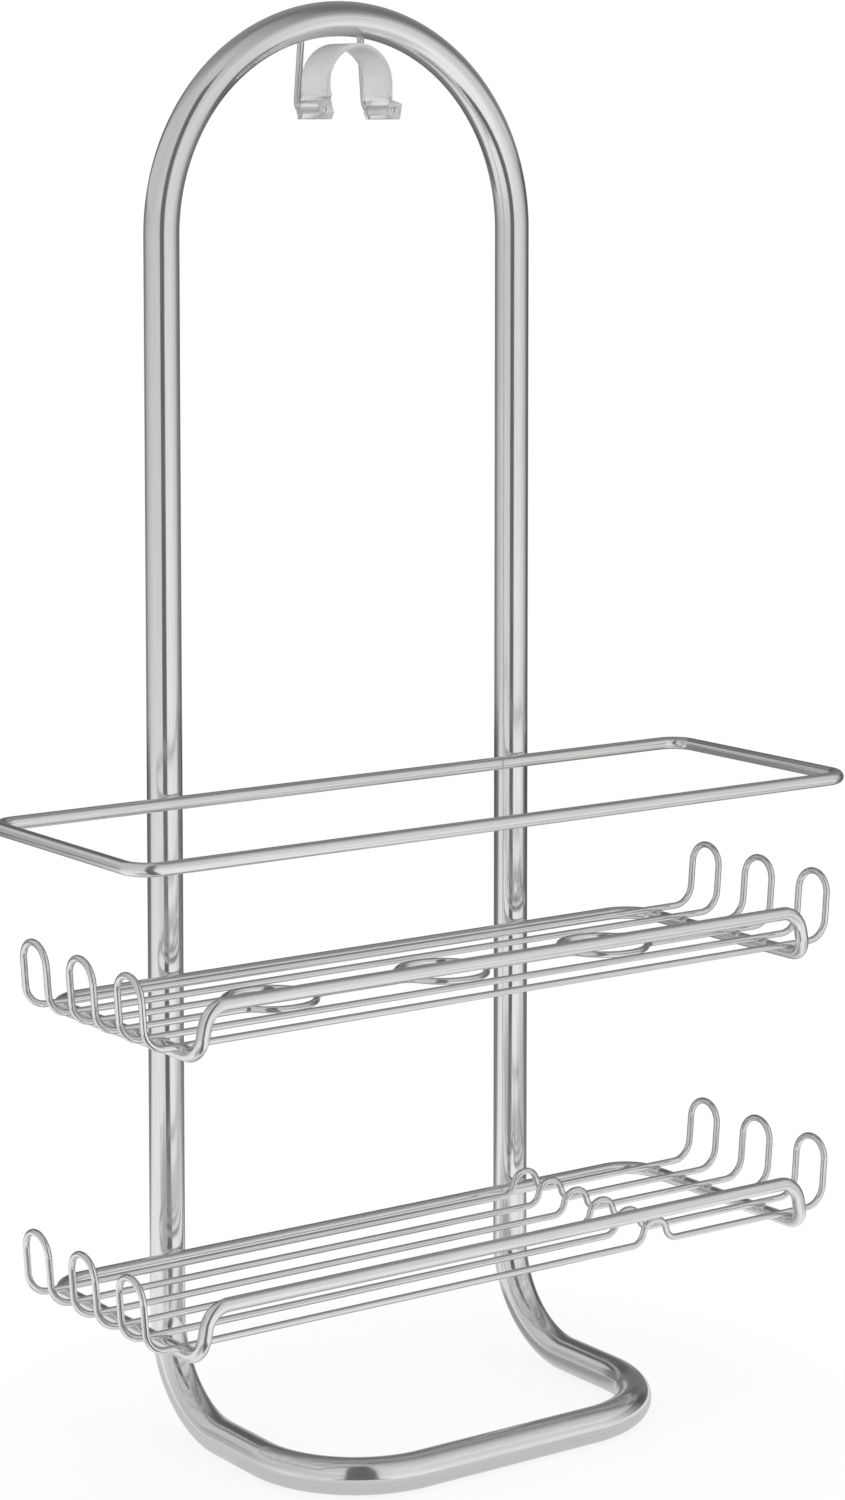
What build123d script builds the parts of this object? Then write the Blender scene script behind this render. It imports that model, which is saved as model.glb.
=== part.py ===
from build123d import *
import os
from math import acos, atan2, hypot, radians, sqrt, tan

# A shower caddy that hangs on a shower arm. A tube hoop stands on its own bent foot and carries an
# open rim rail and two wire shelves, and a springy clip under the arch grips the arm.
# Millimetres, +Z up, the wall side is +Y and the front is -Y. The origin lies on the axis of the
# gripped arm, in the plane of the hoop's two legs.

# Hoop, one closed run of round tube
tube_diameter = 16.0
tube_wall = 1.0
hoop_height = 643.7
leg_spacing = 193.3
foot_reach = 128.0
foot_bend_radius = 46.0
foot_corner_radius = 50.0

# Rails, with the depth that a wire is set into what it is welded to
rail_diameter = 6.0
weld_depth = 0.5

# Rim rail: height of its centre line above the floor, width and depth between centre lines
rim_height = 287.4
rim_width = 381.7
rim_depth = 123.0
rim_corner_radius = 11.0

# Shelf rails: the front is a step higher than the sides and leans in at its two risers
upper_shelf_height = 207.1
lower_shelf_height = 80.8
shelf_width = 328.0
shelf_depth = 124.9
shelf_corner_radius = 16.5
front_rise = 21.3
riser_lean = 4.5
riser_foot_radius = 9.0
riser_head_radius = 11.0

# Shelf floors: closed loops of thin wire, each with a hook at either end
wire_diameter = 3.0
loops_per_shelf = ("back", "middle", "front")
first_wire_gap = 2.0
last_wire_gap = 0.4
hook_reach = 20.0
hook_height = 30.0
hook_lean_angle = 4.4
hook_bend_radius = 10.0

# Least straight run between two bends of a wire
straight_run = 0.5

# Rings of the upper shelf's middle loop, for bottles stood on their caps
ring_radius = 20.0
ring_spacing = 91.5
ring_neck = 8.0
ring_foot_radius = 8.0
ring_places = (-1, 0, 1)

# Humps of the lower shelf's wires, which part a razor or a soap bar from the rest
hump_place = 83.8
hump_height = 10.0
hump_top_radius = 6.5
hump_foot_radius = 6.0

# Clip: a moulded saddle over the arm, with a sleeve at each end for a prong of the hanger
seat_radius = 16.0
clip_wall = 2.0
clip_headroom = 3.2
saddle_front = 14.5
sleeve_front = 15.0
pinch_drop = 5.5
pinch_round = 0.8
leg_drop = 7.5
sleeve_wall = 2.7
sleeve_shoulder = 2.8
sleeve_chin = 1.2
sleeve_inset = 1.2
sleeve_round = 0.8
clip_gap = 0.5

# Hanger: one staple of wire behind the arch whose two ends run forward through the sleeves
hanger_diameter = 3.2
arm_clearance = 1.15
hanger_splay = 3.0
hanger_bar_bend = 5.0
prong_bend_radius = 4.5
prong_shortfall = 1.5
prong_end_round = 0.5
prong_clearance = 0.06

# Worked out from the sizes above
tube_radius = tube_diameter / 2
rail_radius = rail_diameter / 2
wire_radius = wire_diameter / 2
hanger_radius = hanger_diameter / 2
leg_x = leg_spacing / 2
hoop_top = seat_radius + clip_wall + clip_headroom + tube_diameter
floor_level = hoop_top - hoop_height
arch_level = hoop_top - tube_radius - leg_x
back_y = -(tube_radius + rail_radius - weld_depth)

side_x = shelf_width / 2
front_y = back_y - shelf_depth
first_wire_y = back_y - shelf_corner_radius - first_wire_gap
last_wire_y = front_y + riser_foot_radius + last_wire_gap
wire_pitch = (first_wire_y - last_wire_y) / (2 * len(loops_per_shelf) - 1)
wire_lift = rail_radius + wire_radius - weld_depth
hook_x = side_x + hook_reach
hook_tip_x = hook_x + hook_height * tan(radians(hook_lean_angle))

prong_x = seat_radius + hanger_radius + arm_clearance
prong_z = -(leg_drop + prong_bend_radius)
hanger_top_x = prong_x - hanger_splay
hanger_y = tube_radius + hanger_radius - weld_depth
saddle_back = hanger_y - hanger_radius - clip_gap
sleeve_back = hanger_y - prong_bend_radius - clip_gap


def bent_rod(points, radii, diameter):
    """Sweep a round rod along straight runs joined by tangent bends, into the open part."""
    with BuildLine() as run:
        FilletPolyline(*points, radius=radii)
    with BuildSketch(Plane(origin=run.line @ 0, z_dir=run.line % 0)) as section:
        Circle(diameter / 2)
    sweep(section.sketch, path=run.line)


def flank(rise, top_radius, foot_radius):
    """How far from a bump's middle its top corner and its foot corner lie.

    The foot bend, a short straight run and half of the top bend climb the rise together.
    """
    radii = top_radius + foot_radius
    slope = acos((radii - rise) / hypot(radii, straight_run)) - atan2(straight_run, radii)
    top = straight_run / 2 + top_radius * tan(slope / 2)
    return top, top + rise / tan(slope)


def wire_loop(mid_y, level, corners):
    """Bend one closed loop of floor wire with its two hooks, into the open part.

    The corners between the hooks are (x, distance from the loop's middle line, lift, bend radius).
    """
    half_width = wire_pitch / 2
    crown_radius = half_width - straight_run / 2
    right = [
        (hook_x, half_width, 0, hook_bend_radius),
        (hook_tip_x, half_width, hook_height, crown_radius),
    ]
    left = [(-x, out, lift, radius) for x, out, lift, radius in reversed(right)]
    turns = [*left, *corners, *right]
    places = [(x, mid_y + out, level + lift) for x, out, lift, _ in turns]
    crown_z = level + hook_height
    ends = [(-hook_tip_x, mid_y, crown_z), (hook_tip_x, mid_y, crown_z)]
    bent_rod([ends[0], *places, ends[1]], [turn[3] for turn in turns], wire_diameter)
    mirror(about=Plane.XZ.offset(-mid_y))


def ring_corners():
    """Corners of a wire that swells into half rings and draws in to a neck between them."""
    corners = []
    for place in ring_places:
        middle = place * ring_spacing
        for side in (-1, 1):
            outermost = place * side == max(ring_places)
            foot_out = wire_pitch / 2 if outermost else ring_neck / 2
            top, foot = flank(ring_radius - foot_out, ring_radius, ring_foot_radius)
            pair = [
                (middle + side * top, ring_radius, 0, ring_radius),
                (middle + side * foot, foot_out, 0, ring_foot_radius),
            ]
            corners += pair if side > 0 else reversed(pair)
    return corners


def hump_corners():
    """Corners of a wire that rises over one hump."""
    out = wire_pitch / 2
    top, foot = flank(hump_height, hump_top_radius, hump_foot_radius)
    return [
        (hump_place - foot, out, 0, hump_foot_radius),
        (hump_place - top, out, hump_height, hump_top_radius),
        (hump_place + top, out, hump_height, hump_top_radius),
        (hump_place + foot, out, 0, hump_foot_radius),
    ]


def finish(piece, name):
    """Label one finished piece and write it to its own file."""
    piece.label = name
    export_step(piece, f"parts/{name}.step")


os.makedirs("parts", exist_ok=True)

# Hoop: the arch, a leg, its foot and half of the front bar, then the mirror image
foot_z = floor_level + tube_radius
with BuildPart() as frame_tube:
    with BuildLine():
        arch_middle = (leg_x / sqrt(2), 0, arch_level + leg_x / sqrt(2))
        arch = ThreePointArc((0, 0, arch_level + leg_x), arch_middle, (leg_x, 0, arch_level))
        FilletPolyline(
            arch @ 1,
            (leg_x, 0, foot_z),
            (leg_x, -foot_reach, foot_z),
            (0, -foot_reach, foot_z),
            radius=[foot_bend_radius, foot_corner_radius],
        )
    with BuildSketch(Plane(origin=arch @ 0, z_dir=arch % 0)):
        Circle(tube_radius)
        Circle(tube_radius - tube_wall, mode=Mode.SUBTRACT)
    sweep()
    mirror(about=Plane.YZ)
finish(frame_tube.part, "frame_tube")

# Rim: a flat rectangle of rail that stops tall bottles from tipping, notched where the legs meet it
rim_z = floor_level + rim_height
rim_front_y = back_y - rim_depth
with BuildPart() as rim_rail:
    bent_rod(
        [
            (0, back_y, rim_z),
            (rim_width / 2, back_y, rim_z),
            (rim_width / 2, rim_front_y, rim_z),
            (0, rim_front_y, rim_z),
        ],
        [rim_corner_radius, rim_corner_radius],
        rail_diameter,
    )
    mirror(about=Plane.YZ)
    add(frame_tube.part, mode=Mode.SUBTRACT)
finish(rim_rail.part, "rim_rail")

# Shelves: a rail whose front steps up over two risers, and three loops of floor wire laid across it
for shelf, height in (("upper", upper_shelf_height), ("lower", lower_shelf_height)):
    shelf_z = floor_level + height
    front_z = shelf_z + front_rise
    with BuildPart() as shelf_rail:
        bent_rod(
            [
                (0, back_y, shelf_z),
                (side_x, back_y, shelf_z),
                (side_x, front_y, shelf_z),
                (side_x - riser_lean, front_y, front_z),
                (0, front_y, front_z),
            ],
            [shelf_corner_radius, riser_foot_radius, riser_head_radius],
            rail_diameter,
        )
        mirror(about=Plane.YZ)
        add(frame_tube.part, mode=Mode.SUBTRACT)
    finish(shelf_rail.part, f"{shelf}_shelf_rail")

    for row, place in enumerate(loops_per_shelf):
        if shelf == "lower":
            corners = hump_corners()
        elif place == "middle":
            corners = ring_corners()
        else:
            corners = []
        with BuildPart() as shelf_wire:
            wire_loop(first_wire_y - (2 * row + 0.5) * wire_pitch, shelf_z + wire_lift, corners)
            add(shelf_rail.part, mode=Mode.SUBTRACT)
        finish(shelf_wire.part, f"{shelf}_shelf_wire_{place}")

# Hanger: half of the bar behind the arch, an upright and its prong, then the mirror image
bar_z = arch_level + sqrt(leg_x**2 - hanger_top_x**2)
prong_front = -(sleeve_front - prong_shortfall)
with BuildPart() as hanger_wire:
    bent_rod(
        [
            (0, hanger_y, bar_z),
            (hanger_top_x, hanger_y, bar_z),
            (prong_x, hanger_y, prong_z),
            (prong_x, prong_front, prong_z),
        ],
        [hanger_bar_bend, prong_bend_radius],
        hanger_diameter,
    )
    mirror(about=Plane.YZ)
    fillet(hanger_wire.faces().sort_by(Axis.Y)[:2].edges(), prong_end_round)
    add(frame_tube.part, mode=Mode.SUBTRACT)
finish(hanger_wire.part, "hanger_wire")

# Clip: the saddle follows the arm past its middle to a pinch on each side, and ends in two sleeves
outer_radius = seat_radius + clip_wall
pinch_x = sqrt(seat_radius**2 - pinch_drop**2)
sleeve_half = hanger_radius + sleeve_wall
with BuildPart() as pipe_clip:
    with BuildSketch(Plane.XZ.offset(-saddle_back)) as saddle:
        with BuildLine():
            outer = CenterArc((0, 0), outer_radius, 0, 90)
            Polyline(
                outer @ 0,
                (outer_radius, -leg_drop),
                (seat_radius, -leg_drop),
                (pinch_x, -pinch_drop),
            )
            inner = ThreePointArc(
                (pinch_x, -pinch_drop),
                (seat_radius / sqrt(2), seat_radius / sqrt(2)),
                (0, seat_radius),
            )
            Line(inner @ 1, outer @ 1)
        make_face()
        pinch = saddle.vertices().sort_by_distance((pinch_x, -pinch_drop))[0]
        fillet(pinch, pinch_round)
    extrude(amount=saddle_back + saddle_front)
    with BuildSketch(Plane.XZ.offset(-sleeve_back)) as sleeve:
        with BuildLine():
            Polyline(
                (outer_radius, -leg_drop),
                (prong_x + sleeve_half, prong_z + sleeve_shoulder),
                (prong_x + sleeve_half - sleeve_inset, prong_z - sleeve_half),
                (prong_x - sleeve_half + sleeve_inset, prong_z - sleeve_half),
                (prong_x - sleeve_half, prong_z - sleeve_chin),
                (seat_radius, -leg_drop),
                close=True,
            )
        make_face()
        fillet(sleeve.vertices().group_by(Axis.Y)[:-1], sleeve_round)
        with Locations((prong_x, prong_z)):
            Circle(hanger_radius + prong_clearance, mode=Mode.SUBTRACT)
    extrude(amount=sleeve_back + sleeve_front)
    mirror(about=Plane.YZ)
finish(pipe_clip.part, "pipe_clip")
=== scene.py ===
import logging
import math
from collections.abc import Iterable
from dataclasses import dataclass
from enum import Enum

import bpy
import numpy as np
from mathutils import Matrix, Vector


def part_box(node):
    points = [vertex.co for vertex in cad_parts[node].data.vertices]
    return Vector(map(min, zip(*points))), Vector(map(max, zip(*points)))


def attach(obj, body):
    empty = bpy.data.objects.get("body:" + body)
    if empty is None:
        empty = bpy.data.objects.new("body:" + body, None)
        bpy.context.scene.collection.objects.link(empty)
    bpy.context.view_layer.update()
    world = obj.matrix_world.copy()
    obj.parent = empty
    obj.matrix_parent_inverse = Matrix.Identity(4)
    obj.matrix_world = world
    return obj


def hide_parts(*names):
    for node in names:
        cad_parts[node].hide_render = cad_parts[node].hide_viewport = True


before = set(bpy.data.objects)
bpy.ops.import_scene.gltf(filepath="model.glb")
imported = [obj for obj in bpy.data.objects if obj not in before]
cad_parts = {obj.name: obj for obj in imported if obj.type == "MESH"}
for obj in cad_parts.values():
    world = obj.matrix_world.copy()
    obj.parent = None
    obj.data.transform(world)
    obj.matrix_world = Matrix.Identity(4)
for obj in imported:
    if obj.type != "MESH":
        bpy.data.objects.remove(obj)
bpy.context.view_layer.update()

# A shower caddy of polished steel rod and tube, with a moulded clip for the shower arm.
# Sizes are millimetres in the part's own frame: +Z up, the wall side is +Y, the front is -Y, and
# the origin lies on the axis of the gripped arm. Meshes are written in metres.

Place = tuple[float, float, float]
Curve = tuple[tuple[float, float], ...]

MM = 0.001
FULL_TURN = 2 * math.pi
QUARTER_TURN = math.pi / 2
SHARP_EDGE = math.radians(38)
TINY = 1e-6
PATTERN = "drawn"
GLOW = "glow"
log = logging.getLogger("shower_caddy")


class Body(Enum):
    """The bodies of the part that a piece can ride on."""

    FRAME = "frame"
    CLIP = "clip"


class Slot(Enum):
    """The part's material slots."""

    TUBE = "frame_tube"
    RAIL = "rail"
    WIRE = "floor_wire"
    CLIP = "clip"


class FloorForm(Enum):
    """What a loop of floor wire does between its two hooks."""

    PLAIN = "plain"
    RINGS = "rings"
    HUMPS = "humps"


def node_box(node: str) -> tuple[np.ndarray, np.ndarray]:
    """Lowest and highest corner of a node at rest, in millimetres."""
    low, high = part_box(node)
    return np.array(low) / MM, np.array(high) / MM


def in_metres(place: Place) -> Vector:
    """A place in millimetres as Blender takes it, in metres."""
    return Vector([value * MM for value in place])


def circle_angles(count: int) -> np.ndarray:
    """Evenly spaced angles once round a circle, in radians."""
    return np.linspace(0, FULL_TURN, count, endpoint=False)


def on_circle(angles: np.ndarray) -> np.ndarray:
    """Points of the unit circle: the cosine and the sine of each angle."""
    return np.stack([np.cos(angles), np.sin(angles)], axis=-1)


def read_curve(places: np.ndarray, curve: Curve) -> np.ndarray:
    """Read a curve, pairs of a place and a value joined by straight lines, at many places."""
    return np.interp(places, *np.transpose(curve))


def linear(code: str) -> tuple[float, float, float, float]:
    """Turn an sRGB hex colour into linear values by the sRGB standard's own curve.

    Args:
        code: the colour as #RRGGBB.

    Returns:
        Linear red, green and blue, and an alpha of one.
    """
    shares = np.array([int(code[place:place + 2], 16) for place in (1, 3, 5)]) / 255
    values = np.where(shares <= 0.04045, shares / 12.92, ((shares + 0.055) / 1.055) ** 2.4)
    return (*values.tolist(), 1.0)


def add_node(tree: bpy.types.NodeTree, kind: str, values: dict | None = None, links: dict | None = None,
             stops: Iterable[tuple[float, str]] = (), **settings: object) -> bpy.types.Node:
    """Add one node to a tree.

    Args:
        tree: the tree that gets the node.
        kind: Blender's name for the kind of node.
        values: a constant for each input socket named.
        links: the output socket that feeds each input socket named.
        stops: on a colour ramp, the place and the sRGB hex colour of each stop.
        settings: the node's own properties.

    Returns:
        The new node.
    """
    node = tree.nodes.new(kind)
    for name, value in settings.items():
        setattr(node, name, value)
    for socket, value in (values or {}).items():
        node.inputs[socket].default_value = value
    for socket, source in (links or {}).items():
        tree.links.new(source, node.inputs[socket])
    for number, (place, colour) in enumerate(stops):
        node.color_ramp.elements[number].position = place
        node.color_ramp.elements[number].color = linear(colour)
    return node


def bare_material(name: str) -> bpy.types.Material:
    """Make a node material with nothing in its tree yet.

    Args:
        name: the material's name.

    Returns:
        The material.
    """
    material = bpy.data.materials.new(name)
    material.use_nodes = True
    material.node_tree.nodes.clear()
    return material


def end_finish(tree: bpy.types.NodeTree, tint: bpy.types.Node, rough: bpy.types.Node,
               bumped: bpy.types.Node, values: dict, links: dict | None = None) -> None:
    """End a finish in its shader, and that in the material's output.

    Args:
        tree: the finish's tree.
        tint: the node that gives the colour.
        rough: the node that gives the roughness.
        bumped: the node that gives the bump.
        values: the shader's constants.
        links: what else feeds the shader.
    """
    fed = {
        "Base Color": tint.outputs["Color"],
        "Roughness": rough.outputs["Result"],
        "Normal": bumped.outputs["Normal"],
        **(links or {}),
    }
    shader = add_node(tree, "ShaderNodeBsdfPrincipled", values, fed)
    add_node(tree, "ShaderNodeOutputMaterial", links={"Surface": shader.outputs["BSDF"]})


@dataclass(frozen=True)
class Surface:
    """A mesh held as whole arrays, in millimetres.

    Attributes:
        points: corner places, of shape (points, 3).
        quads: four point numbers for each four-sided face.
        triangles: three point numbers for each three-sided face.
        pattern: for each corner of each face, quads first, its place along and across the drawn rod.
    """

    points: np.ndarray
    quads: np.ndarray
    triangles: np.ndarray
    pattern: np.ndarray | None = None

    def volume(self) -> float:
        """Add up the signed cones from the origin to each face, as half-fans of each quad.

        Returns:
            The volume in cubic millimetres, negative where the faces point inwards.
        """
        fans = [self.quads[:, [0, 1, 2]], self.quads[:, [0, 2, 3]], self.triangles]
        first, second, third = np.moveaxis(self.points[np.concatenate(fans)], 1, 0)
        return float(np.sum(first * np.cross(second, third)) / 6)

    def outward(self) -> "Surface":
        """Turn every face round if the surface is inside out.

        Returns:
            The surface, with its faces pointing outwards.
        """
        if self.volume() >= 0:
            return self
        return Surface(self.points, self.quads[:, ::-1], self.triangles[:, ::-1], self.pattern)

    def mesh(self, name: str) -> bpy.types.Mesh:
        """Write the arrays into a smooth-shaded Blender mesh.

        Args:
            name: the mesh's name.

        Returns:
            The mesh, in metres.
        """
        made = bpy.data.meshes.new(name)
        made.from_pydata((self.points * MM).tolist(), [], self.quads.tolist() + self.triangles.tolist())
        made.shade_smooth()
        if self.pattern is not None:
            attribute = made.attributes.new(PATTERN, "FLOAT_VECTOR", "CORNER")
            attribute.data.foreach_set("vector", self.pattern.astype(np.float32).ravel())
        return made


def lattice(points: np.ndarray, closed: bool, poles: np.ndarray | None = None) -> Surface:
    """Join a grid of points into a surface whose columns run round and close on themselves.

    Args:
        points: the grid, of shape (rows, columns, 3).
        closed: whether the last row joins on to the first.
        poles: two points that close the first and the last row, if the rows have ends.

    Returns:
        The surface, with its points in row order and the poles last.
    """
    rows, columns = points.shape[:2]
    number = np.arange(rows * columns).reshape(rows, columns)
    beside = np.roll(number, -1, axis=1)
    above, above_beside = np.roll(number, -1, axis=0), np.roll(beside, -1, axis=0)
    used = slice(None) if closed else slice(rows - 1)
    quads = np.stack([number, beside, above_beside, above], axis=-1)[used].reshape(-1, 4)
    flat = points.reshape(-1, 3)
    if poles is None:
        return Surface(flat, quads, np.empty((0, 3), int))
    first = np.full(columns, rows * columns)
    fans = [
        np.stack([first, beside[0], number[0]], axis=-1),
        np.stack([number[-1], beside[-1], first + 1], axis=-1),
    ]
    return Surface(np.concatenate([flat, poles]), quads, np.concatenate(fans))


def merged(surfaces: list[Surface]) -> Surface:
    """Put several surfaces into one, each still closed by itself.

    Args:
        surfaces: the surfaces, which carry no pattern.

    Returns:
        One surface with all their points and faces.
    """
    starts = np.cumsum([0] + [len(surface.points) for surface in surfaces[:-1]])
    return Surface(
        np.concatenate([surface.points for surface in surfaces]),
        np.concatenate([surface.quads + start for surface, start in zip(surfaces, starts)]),
        np.concatenate([surface.triangles + start for surface, start in zip(surfaces, starts)]),
    )


@dataclass(frozen=True)
class CentreLine:
    """Rings along a bent rod.

    Attributes:
        centres: each ring's centre.
        directions: which way the rod runs there.
        sides: a vector square to that, which doesn't twist about the rod.
        places: each ring's distance along the rod.
        length: the rod's whole length.
        closed: whether the last ring leads back to the first.
        end_rings: rings in the rounded edge of a free end.
    """

    centres: np.ndarray
    directions: np.ndarray
    sides: np.ndarray
    places: np.ndarray
    length: float
    closed: bool
    end_rings: int = 4

    def rod(self, radius: float, columns: int, end_round: float = 0.0) -> Surface:
        """Carry a circle along the line.

        A point lies at its ring's centre + radius (cos f side + sin f up), with f running round the
        circle. A free end goes on as a quarter circle of end_round, then closes flat on its middle.

        Args:
            radius: the rod's radius.
            columns: points round the circle.
            end_round: rounding of the free ends' edge.

        Returns:
            The closed surface, with its place along and across the rod as its pattern.
        """
        centres, directions, sides = self.centres, self.directions, self.sides
        places, radii = self.places, np.full(len(self.places), radius)
        poles = None
        if not self.closed:
            turn = np.linspace(0, QUARTER_TURN, self.end_rings + 1)[1:]
            out, narrow = end_round * np.sin(turn), radius - end_round * (1 - np.cos(turn))
            head = centres[0] - np.outer(out[::-1], directions[0])
            tail = centres[-1] + np.outer(out, directions[-1])
            repeat = np.pad(np.arange(len(places)), self.end_rings, mode="edge")
            centres = np.concatenate([head, centres, tail])
            directions, sides = directions[repeat], sides[repeat]
            places = np.concatenate([places[0] - out[::-1], places, places[-1] + out])
            radii = np.concatenate([narrow[::-1], radii, narrow])
            poles = np.stack([head[0], tail[-1]])
        ups = np.cross(directions, sides)
        across = radii[:, None, None] * on_circle(circle_angles(columns))
        rings = centres[:, None] + across[..., :1] * sides[:, None] + across[..., 1:] * ups[:, None]
        surface = lattice(rings, self.closed, poles)

        along = np.broadcast_to(places[:, None, None], (*across.shape[:2], 1))
        local = np.concatenate([along, across], axis=-1).reshape(-1, 3)
        if poles is not None:
            local = np.concatenate([local, [[places[0], 0, 0], [places[-1], 0, 0]]])
        on_quads = local[surface.quads]
        if self.closed:
            on_quads[-columns:, 2:, 0] += self.length
        pattern = np.concatenate([on_quads.reshape(-1, 3), local[surface.triangles].reshape(-1, 3)])
        return Surface(surface.points, surface.quads, surface.triangles, pattern)


@dataclass(frozen=True)
class Route:
    """A rod's route: straight runs joined by tangent bends.

    Attributes:
        corners: where the runs would meet.
        radii: the bend radius at each corner, zero at a free end.
        closed: whether the last corner's run leads back to the first corner.
        bend_step: angle between rings in a bend, in degrees.
        run_step: longest distance between rings in a straight run.
    """

    corners: list[Place]
    radii: list[float]
    closed: bool = True
    bend_step: float = 4.0
    run_step: float = 24.0

    def bend(self, start: np.ndarray, ahead: np.ndarray, onward: np.ndarray, turn: float, radius: float,
             side: np.ndarray) -> tuple[np.ndarray, np.ndarray, np.ndarray]:
        """Lay rings round one bend.

        In a bend of radius R that leaves direction u towards n, square to u, the ring at angle a
        lies at start + R sin(a) u + R (1 - cos(a)) n, with its side vector turned by a about u x n.

        Args:
            start: where the bend starts.
            ahead: the direction that it leaves.
            onward: the direction that it ends in.
            turn: the angle between the two.
            radius: the bend's radius.
            side: the side vector at the start.

        Returns:
            The rings' centres, directions and side vectors.
        """
        inward = onward - ahead * np.dot(ahead, onward)
        inward = inward / max(np.linalg.norm(inward), TINY)
        axis = np.cross(ahead, inward)
        rings = math.ceil(math.degrees(turn) / self.bend_step) + 1
        angle = np.linspace(0, turn, rings)[:, None]
        turned, lost = np.sin(angle), 1 - np.cos(angle)
        centres = start + radius * (turned * ahead + lost * inward)
        directions = (1 - lost) * ahead + turned * inward
        sides = (1 - lost) * side + turned * np.cross(axis, side) + lost * axis * (axis @ side)
        return centres, directions, sides

    def run(self, start: np.ndarray, onward: np.ndarray, gap: float,
            side: np.ndarray) -> tuple[np.ndarray, np.ndarray, np.ndarray]:
        """Lay evenly spaced rings along a straight run, without its two ends.

        Args:
            start: where the run starts.
            onward: its direction.
            gap: its length.
            side: the side vector along it.

        Returns:
            The rings' centres, directions and side vectors.
        """
        parts = math.ceil(gap / self.run_step)
        shares = (np.arange(1, parts) / max(parts, 1))[:, None]
        centres = start + shares * gap * onward
        return centres, np.broadcast_to(onward, centres.shape), np.broadcast_to(side, centres.shape)

    def centre_line(self) -> CentreLine:
        """Lay rings along the route, bend by bend and run by run.

        The side vector only turns with the bends, and what a closed route has turned it by at the end
        is spread over its length.

        Returns:
            The rings.
        """
        corners, radii = np.array(self.corners, float), np.array(self.radii, float)
        spans = np.roll(corners, -1, axis=0) - corners
        lengths = np.linalg.norm(spans, axis=1)
        leaving = spans / lengths[:, None]
        coming = np.roll(leaving, 1, axis=0)
        if not self.closed:
            coming[0], leaving[-1] = leaving[0], coming[-1]
        turns = np.arccos(np.clip(np.sum(coming * leaving, axis=1), -1, 1))
        cut_backs = radii * np.tan(turns / 2)
        gaps = lengths - cut_backs - np.roll(cut_backs, -1)
        starts = corners - coming * cut_backs[:, None]

        start_side = np.cross(coming[0], np.eye(3)[np.argmin(np.abs(coming[0]))])
        side = start_side = start_side / np.linalg.norm(start_side)
        rings = []
        for start, ahead, onward, turn, radius, gap in zip(starts, coming, leaving, turns, radii, gaps):
            bent = self.bend(start, ahead, onward, turn, radius, side)
            bend_end, side = bent[0][-1], bent[2][-1]
            rings += [bent, self.run(bend_end, onward, gap, side)]
        if not self.closed:
            rings.pop()

        centres, directions, sides = (np.concatenate(kind) for kind in zip(*rings))
        steps = np.linalg.norm(centres - np.roll(centres, 1, axis=0), axis=1)
        kept = steps > TINY
        centres, directions, sides, steps = centres[kept], directions[kept], sides[kept], steps[kept]
        places = np.cumsum(steps) - steps[0]
        length = float(places[-1] + (steps[0] if self.closed else 0))
        if self.closed:
            twist = math.atan2(np.dot(np.cross(start_side, side), directions[0]), np.dot(start_side, side))
            undo = (-twist * places / length)[:, None]
            sides = np.cos(undo) * sides + np.sin(undo) * np.cross(directions, sides)
        return CentreLine(centres, directions, sides, places, length, self.closed)


def bump(rise: float, top_radius: float, foot_radius: float, run: float) -> tuple[float, float]:
    """Find how far from a bump's middle its top corner and its foot corner lie.

    The foot bend, a short straight run and half of the top bend climb the rise together.

    Args:
        rise: the bump's height.
        top_radius: bend radius at the top.
        foot_radius: bend radius at the foot.
        run: the straight run between two bends.

    Returns:
        The distances of the top corner and of the foot corner.
    """
    radii = top_radius + foot_radius
    slope = math.acos((radii - rise) / math.hypot(radii, run)) - math.atan2(run, radii)
    top = run / 2 + top_radius * math.tan(slope / 2)
    return top, top + rise / math.tan(slope)


def mirrored(corners: list[tuple[float, ...]]) -> list[tuple[float, ...]]:
    """The same corners on the other side of x = 0, in the opposite order."""
    return [(-x, *rest) for x, *rest in reversed(corners)]


def place_piece(name: str, mesh: bpy.types.Mesh, material: bpy.types.Material, body: Body,
                slot: Slot, *nodes: str) -> None:
    """Make one piece of the object, tie it to the part and report it.

    Args:
        name: the piece's name.
        mesh: its mesh, already in place.
        material: its finish.
        body: the body it moves with.
        slot: the piece's material slot; not used.
        nodes: the plain solids that it stands for.
    """
    piece = bpy.data.objects.new(name, mesh)
    bpy.context.scene.collection.objects.link(piece)
    mesh.materials.clear()
    mesh.materials.append(material)
    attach(piece, body.value)
    if nodes:
        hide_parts(*nodes)
    log.info("%s: %d faces, %s, on %s", name, len(mesh.polygons), material.name, body.value)


def place_rod(name: str, route: Route, radius: float, columns: int, material: bpy.types.Material,
              slot: Slot, node: str, end_round: float = 0.0) -> None:
    """Bend a rod of the frame along its route and place it as the piece that stands for one solid."""
    mesh = route.centre_line().rod(radius, columns, end_round).mesh(name)
    place_piece(name, mesh, material, Body.FRAME, slot, node)


@dataclass(frozen=True)
class Grain:
    """A noise drawn out along a rod: its streaks' length and width, and how many finer ones they hold."""

    length: float
    width: float
    detail: float
    roughness: float = 0.6

    def noise(self, tree: bpy.types.NodeTree, along: bpy.types.Node) -> bpy.types.NodeSocket:
        """Add the noise to a finish.

        Args:
            tree: the finish's tree.
            along: the node that gives the place along and across the rod.

        Returns:
            The socket with the noise's height.
        """
        stretched = add_node(
            tree, "ShaderNodeMapping", {"Scale": (1 / self.length, 1 / self.width, 1 / self.width)},
            {"Vector": along.outputs["Vector"]},
        )
        made = add_node(
            tree, "ShaderNodeTexNoise", {"Scale": 1.0, "Detail": self.detail, "Roughness": self.roughness},
            {"Vector": stretched.outputs["Vector"]},
        )
        return made.outputs["Fac"]


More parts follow.
